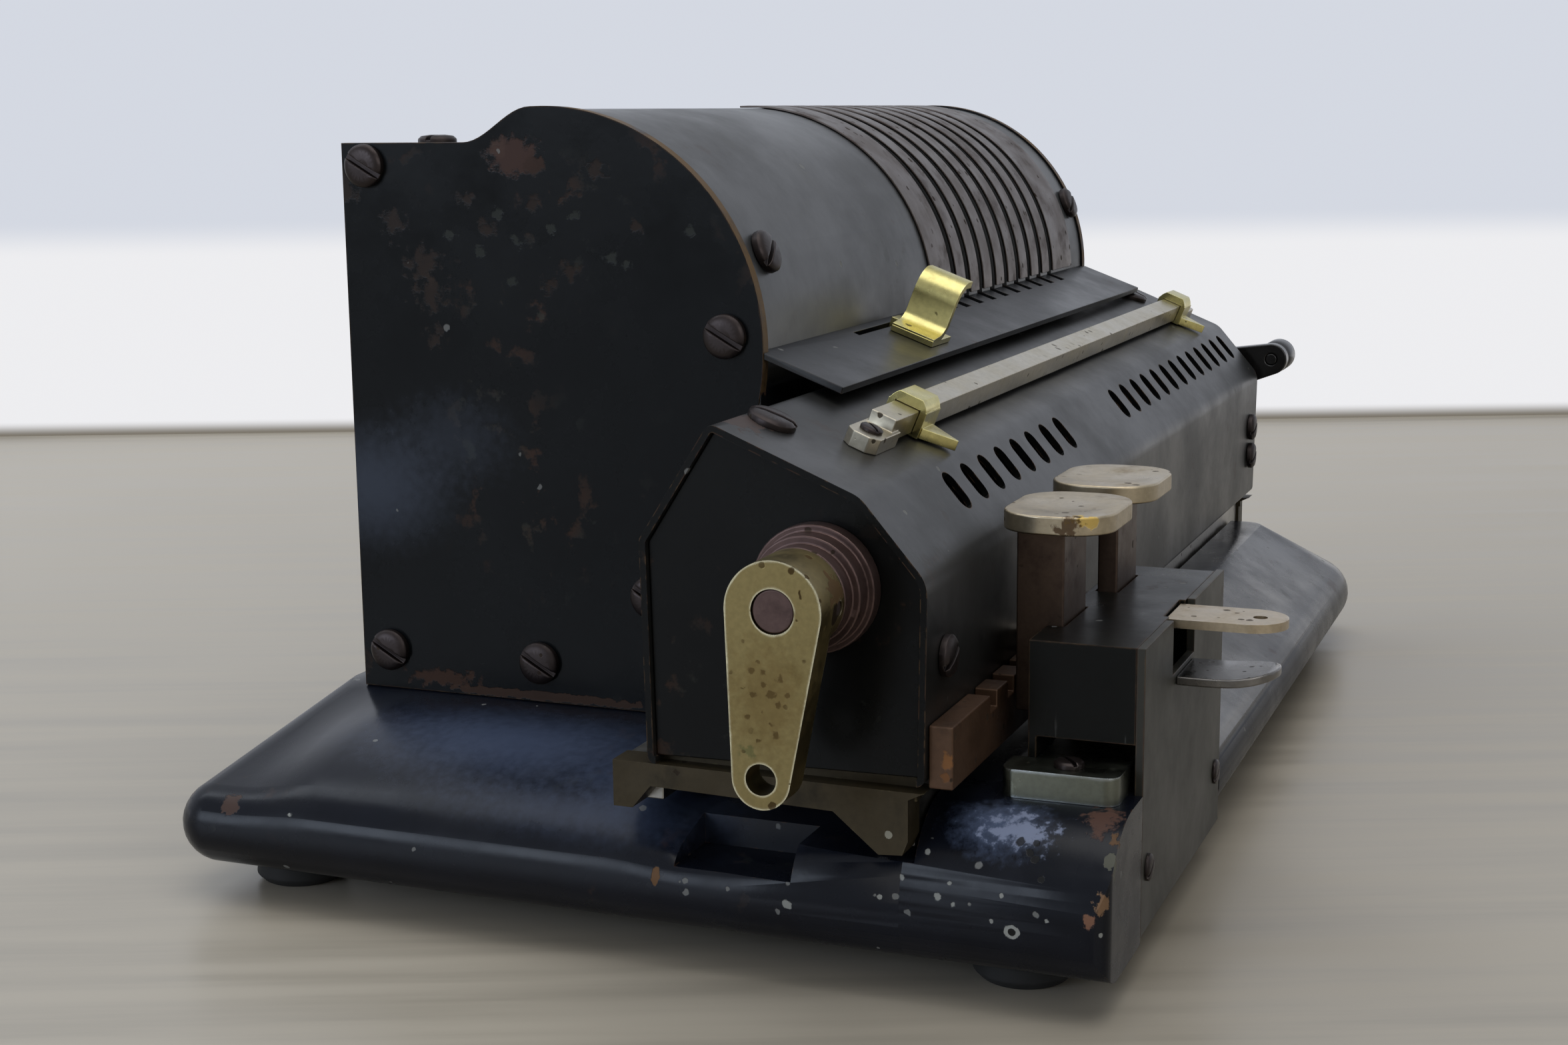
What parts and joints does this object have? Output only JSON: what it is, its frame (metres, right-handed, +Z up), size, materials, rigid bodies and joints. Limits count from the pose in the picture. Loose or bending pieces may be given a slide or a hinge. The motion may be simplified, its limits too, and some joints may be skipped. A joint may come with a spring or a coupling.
{
  "type": "mechanical calculator",
  "caption": "Desk pinwheel calculating machine: black enamelled base and side plates, slotted drum cover, sliding register carriage, clearing cranks, keys and a hand crank.",
  "frame": {"origin": "middle of the overall box in plan, at the bottom of the feet", "axes": "+X to the operator's right along the drum, +Y away from the operator, +Z up"},
  "size_m": [0.369, 0.201, 0.1485],
  "materials": {
    "black_enamel": "glossy black enamel, worn at the edges",
    "grey_enamel": "satin dark grey",
    "strip_metal": "dulled brown",
    "screw_steel": "brown-tarnished",
    "steel": "oiled",
    "bronze": "dark, tarnished",
    "nickel": "aged nickel plate, yellowed",
    "shaft_steel": "brown, oxidised",
    "rack_copper": "brown copper tone",
    "brass": "polished",
    "dial_ivory": "satin ivory",
    "grip_black": "polished black",
    "foot_rubber": "matte"
  },
  "bodies": {
    "case": {"base_shell": "black_enamel", "feet": "foot_rubber", "left_plate": "black_enamel", "right_plate": "black_enamel", "drum_cover": "grey_enamel", "number_strips": "strip_metal", "front_shelf": "black_enamel", "plate_screws": "screw_steel", "cover_screws": "screw_steel", "tie_rods": "steel", "rotor_bearings": "bronze", "crank_rest": "black_enamel", "carriage_rails": "steel", "key_box": "black_enamel", "front_plate": "black_enamel", "stop_plate": "nickel", "box_screws": "screw_steel", "finger_rest": "nickel"},
    "rotor": {"rotor_shaft": "steel", "pinwheels": "bronze", "crank_arm": "nickel", "crank_spindle": "nickel"},
    "grip": {"crank_grip": "grip_black"},
    "carriage": {"frame_left": "bronze", "frame_right": "bronze", "slide_runners": "steel", "carriage_cover": "black_enamel", "end_plate_left": "black_enamel", "end_plate_right": "black_enamel", "index_rack": "rack_copper", "shaft_collars": "shaft_steel", "decimal_bar": "nickel", "carriage_screws": "screw_steel", "centre_bearing": "bronze"},
    "counter_clearing": {"counter_shaft": "shaft_steel", "counter_dials": "dial_ivory", "counter_crank": "nickel", "counter_crank_pin": "shaft_steel"},
    "result_clearing": {"result_shaft": "shaft_steel", "result_dials": "dial_ivory", "result_crank": "nickel", "result_knob": "grip_black"},
    "near_key": {"near_key": "nickel"},
    "far_key": {"far_key": "nickel"},
    "shift_lever": {"shift_lever": "nickel"},
    "near_marker": {"near_marker": "brass"},
    "far_marker": {"far_marker": "brass"},
    "shelf_marker": {"shelf_marker": "brass"},
    "setting_lever_1": {"setting_lever_1": "steel"},
    "setting_lever_2": {"setting_lever_2": "steel"},
    "setting_lever_3": {"setting_lever_3": "steel"},
    "setting_lever_4": {"setting_lever_4": "steel"},
    "setting_lever_5": {"setting_lever_5": "steel"},
    "setting_lever_6": {"setting_lever_6": "steel"},
    "setting_lever_7": {"setting_lever_7": "steel"},
    "setting_lever_8": {"setting_lever_8": "steel"},
    "setting_lever_9": {"setting_lever_9": "steel"}
  },
  "joints": [
    {"name": "rotor_spin", "type": "hinge", "parent": "case", "child": "rotor", "pos_m": [0.0003, 0.03955, 0.1035], "axis": [1, 0, 0], "continuous": true},
    {"name": "grip_spin", "type": "hinge", "parent": "rotor", "child": "grip", "pos_m": [0.1553, 0.03955, 0.0655], "axis": [1, 0, 0], "continuous": true},
    {"name": "setting_lever_1_turn", "type": "hinge", "parent": "rotor", "child": "setting_lever_1", "pos_m": [-0.0017, 0.03955, 0.1035], "axis": [-1, 0, 0], "range_deg": [0, 81]},
    {"name": "setting_lever_2_turn", "type": "hinge", "parent": "rotor", "child": "setting_lever_2", "pos_m": [0.009, 0.03955, 0.1035], "axis": [-1, 0, 0], "range_deg": [0, 81]},
    {"name": "setting_lever_3_turn", "type": "hinge", "parent": "rotor", "child": "setting_lever_3", "pos_m": [0.0197, 0.03955, 0.1035], "axis": [-1, 0, 0], "range_deg": [0, 81]},
    {"name": "setting_lever_4_turn", "type": "hinge", "parent": "rotor", "child": "setting_lever_4", "pos_m": [0.0304, 0.03955, 0.1035], "axis": [-1, 0, 0], "range_deg": [0, 81]},
    {"name": "setting_lever_5_turn", "type": "hinge", "parent": "rotor", "child": "setting_lever_5", "pos_m": [0.0411, 0.03955, 0.1035], "axis": [-1, 0, 0], "range_deg": [0, 81]},
    {"name": "setting_lever_6_turn", "type": "hinge", "parent": "rotor", "child": "setting_lever_6", "pos_m": [0.0518, 0.03955, 0.1035], "axis": [-1, 0, 0], "range_deg": [0, 81]},
    {"name": "setting_lever_7_turn", "type": "hinge", "parent": "rotor", "child": "setting_lever_7", "pos_m": [0.0625, 0.03955, 0.1035], "axis": [-1, 0, 0], "range_deg": [0, 81]},
    {"name": "setting_lever_8_turn", "type": "hinge", "parent": "rotor", "child": "setting_lever_8", "pos_m": [0.0732, 0.03955, 0.1035], "axis": [-1, 0, 0], "range_deg": [0, 81]},
    {"name": "setting_lever_9_turn", "type": "hinge", "parent": "rotor", "child": "setting_lever_9", "pos_m": [0.0839, 0.03955, 0.1035], "axis": [-1, 0, 0], "range_deg": [0, 81]},
    {"name": "carriage_slide", "type": "slide", "parent": "case", "child": "carriage", "axis": [1, 0, 0], "range_m": [-0.0428, 0.0321]},
    {"name": "counter_clear", "type": "hinge", "parent": "carriage", "child": "counter_clearing", "pos_m": [-0.1097, -0.03305, 0.0703], "axis": [1, 0, 0], "continuous": true},
    {"name": "result_clear", "type": "hinge", "parent": "carriage", "child": "result_clearing", "pos_m": [0.0603, -0.03305, 0.0703], "axis": [1, 0, 0], "continuous": true},
    {"name": "near_key_press", "type": "slide", "parent": "case", "child": "near_key", "axis": [0, 0, -1], "range_m": [0, 0.004], "stiffness_N_per_m": 300, "springref_m": -0.004},
    {"name": "far_key_press", "type": "slide", "parent": "case", "child": "far_key", "axis": [0, 0, -1], "range_m": [0, 0.004], "stiffness_N_per_m": 300, "springref_m": -0.004},
    {"name": "shift_lever_tilt", "type": "hinge", "parent": "case", "child": "shift_lever", "pos_m": [-0.1074, -0.07195, 0.051], "axis": [1, 0, 0], "range_deg": [0, 8], "stiffness_Nm_per_rad": 0.05, "springref_deg": -17.19},
    {"name": "near_marker_slide", "type": "slide", "parent": "carriage", "child": "near_marker", "axis": [1, 0, 0], "range_m": [-0.009, 0.101]},
    {"name": "far_marker_slide", "type": "slide", "parent": "carriage", "child": "far_marker", "axis": [1, 0, 0], "range_m": [-0.115, 0]},
    {"name": "shelf_marker_slide", "type": "slide", "parent": "case", "child": "shelf_marker", "axis": [1, 0, 0], "range_m": [-0.022, 0.039]}
  ]
}
